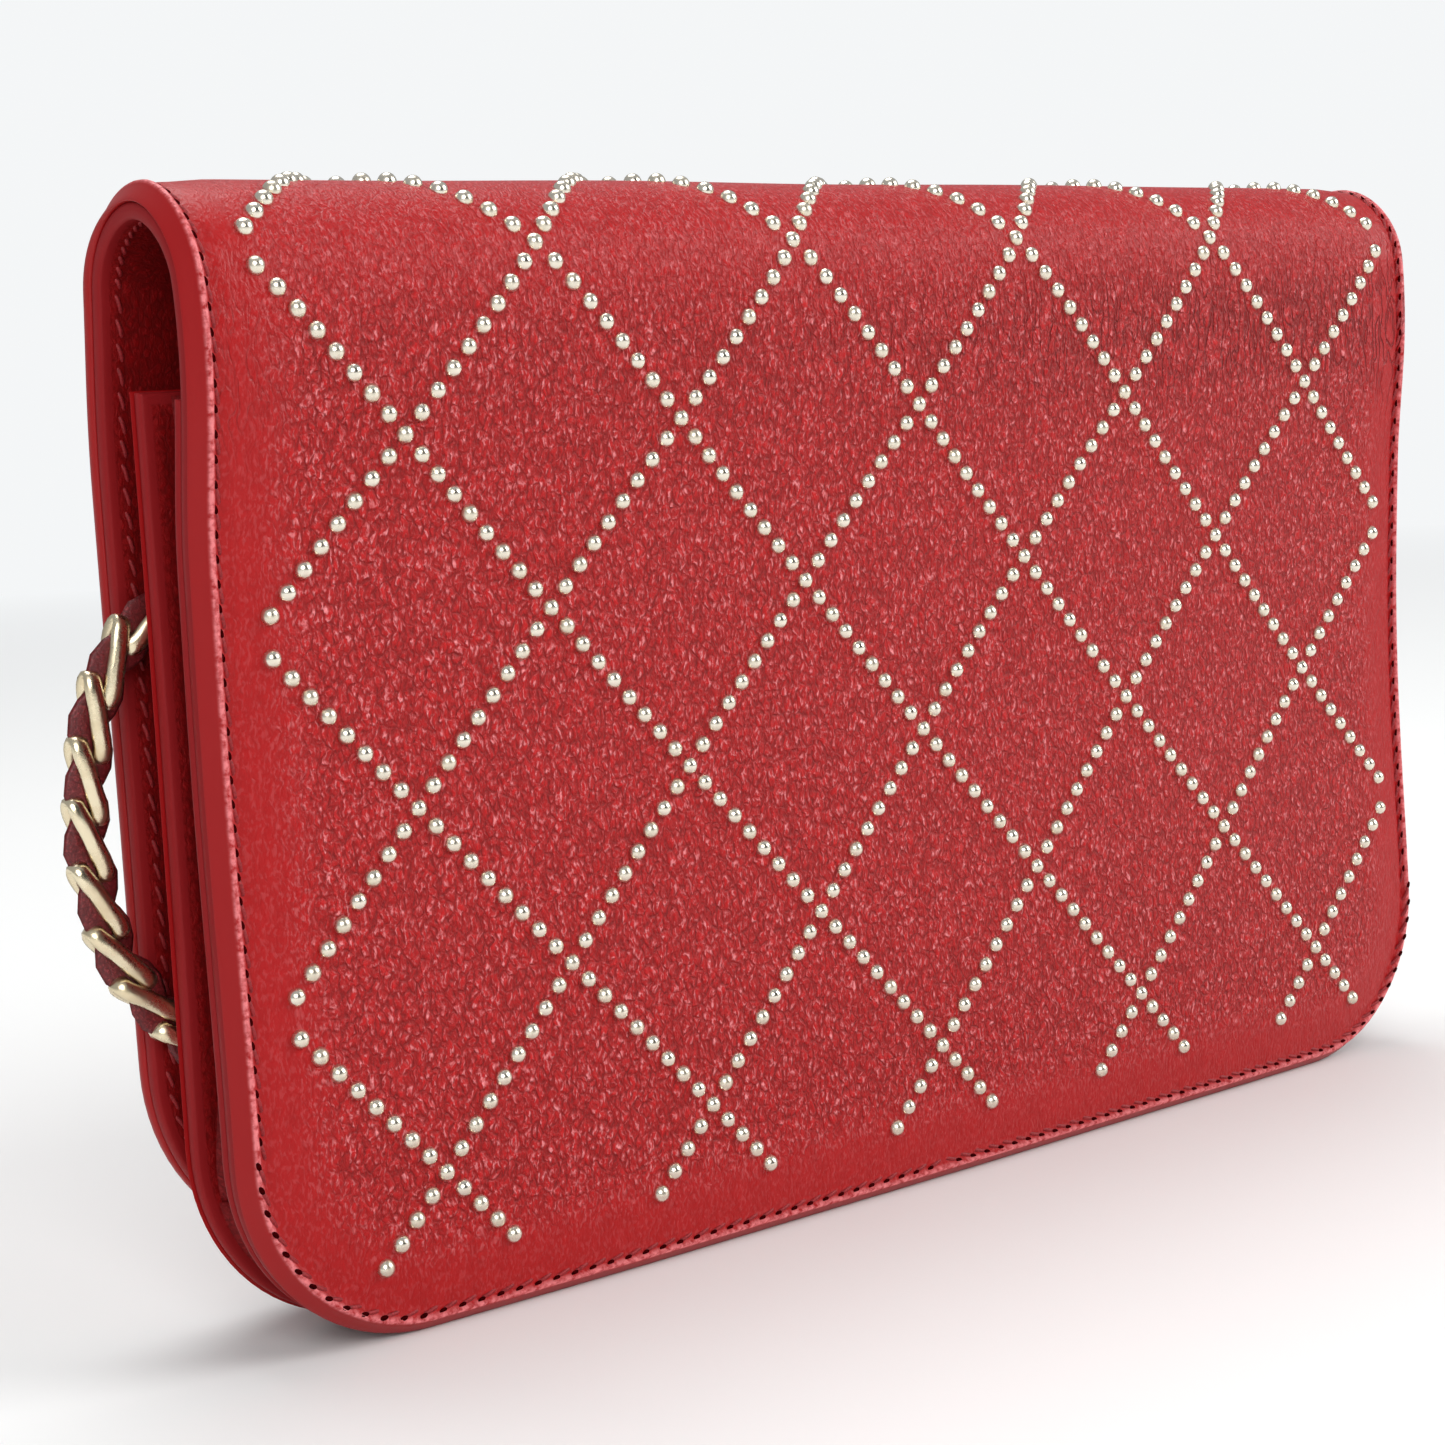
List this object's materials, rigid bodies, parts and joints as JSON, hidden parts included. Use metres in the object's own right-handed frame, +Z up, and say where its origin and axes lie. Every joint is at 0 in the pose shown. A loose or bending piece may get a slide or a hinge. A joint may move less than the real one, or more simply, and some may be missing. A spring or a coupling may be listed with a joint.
{
  "type": "chain wallet",
  "caption": "Slim leather wallet with a domed-stud diamond lattice, a rounded top, a fold-over front flap, card slots, a zip pocket and a chain shoulder strap.",
  "frame": {"origin": "middle of the wallet's foot, on the surface that it stands on", "axes": "+X along the width, to the right of someone who faces the studded rear panel; +Y from the rear panel to the flap; +Z up"},
  "size_m": [0.2003, 0.0767, 0.1235],
  "materials": {
    "red_leather": "grained semi-gloss",
    "lining_leather": "smooth satin",
    "card_leather": "smooth satin",
    "gold_metal": "polished pale gold",
    "zip_tape": "woven",
    "chain_strap": "polished pale gold links with a burgundy leather ribbon"
  },
  "bodies": {
    "wallet": {"rear_panel_leather": "red_leather", "rear_panel_lining": "lining_leather", "rear_studs": "gold_metal", "front_panel_leather": "red_leather", "front_panel_lining": "lining_leather", "left_gusset": "card_leather", "right_gusset": "card_leather", "bottom_gusset": "card_leather", "card_slot_left_top": "card_leather", "card_slot_left_middle": "card_leather", "card_slot_left_bottom": "card_leather", "card_slot_right_top": "card_leather", "card_slot_right_middle": "card_leather", "card_slot_right_bottom": "card_leather", "zip_pocket_panel": "card_leather", "zip_tape_lower": "zip_tape", "zip_tape_upper": "zip_tape", "zip_teeth": "gold_metal", "eyelet_left": "gold_metal", "eyelet_right": "gold_metal", "chain_anchor_left": "gold_metal", "chain_anchor_right": "gold_metal", "snap_base": "gold_metal", "chain_left": "chain_strap", "chain_hank": "chain_strap", "chain_right": "chain_strap", "hank_tie": "zip_tape"},
    "top_rear": {"top_rear_leather": "red_leather", "top_rear_lining": "lining_leather", "top_rear_studs": "gold_metal"},
    "top_front": {"top_front_leather": "red_leather", "top_front_lining": "lining_leather", "top_front_studs": "gold_metal"},
    "flap": {"flap_leather": "red_leather", "flap_lining": "lining_leather", "flap_studs": "gold_metal", "snap_cap": "gold_metal"},
    "zip_slider": {"zip_slider": "gold_metal"},
    "zip_pull": {"zip_pull": "gold_metal"}
  },
  "joints": [
    {"name": "top_rear_fold", "type": "hinge", "parent": "wallet", "child": "top_rear", "pos_m": [0, -0.012, 0.1105], "axis": [1, 0, 0], "range_deg": [0, 60]},
    {"name": "top_crest_fold", "type": "hinge", "parent": "top_rear", "child": "top_front", "pos_m": [0, 0, 0.1225], "axis": [1, 0, 0], "range_deg": [0, 60]},
    {"name": "flap_fold", "type": "hinge", "parent": "top_front", "child": "flap", "pos_m": [0, 0.012, 0.1105], "axis": [1, 0, 0], "range_deg": [0, 60]},
    {"name": "zip_slide", "type": "slide", "parent": "wallet", "child": "zip_slider", "axis": [1, 0, 0], "range_m": [0, 0.136]},
    {"name": "zip_pull_swing", "type": "hinge", "parent": "zip_slider", "child": "zip_pull", "pos_m": [-0.068, -0.0043, 0.0932], "axis": [1, 0, 0], "range_deg": [-12, 0]}
  ],
  "couplings": [
    {"joint": "top_crest_fold", "follows": "top_rear_fold", "ratio": 1},
    {"joint": "flap_fold", "follows": "top_rear_fold", "ratio": 1}
  ]
}
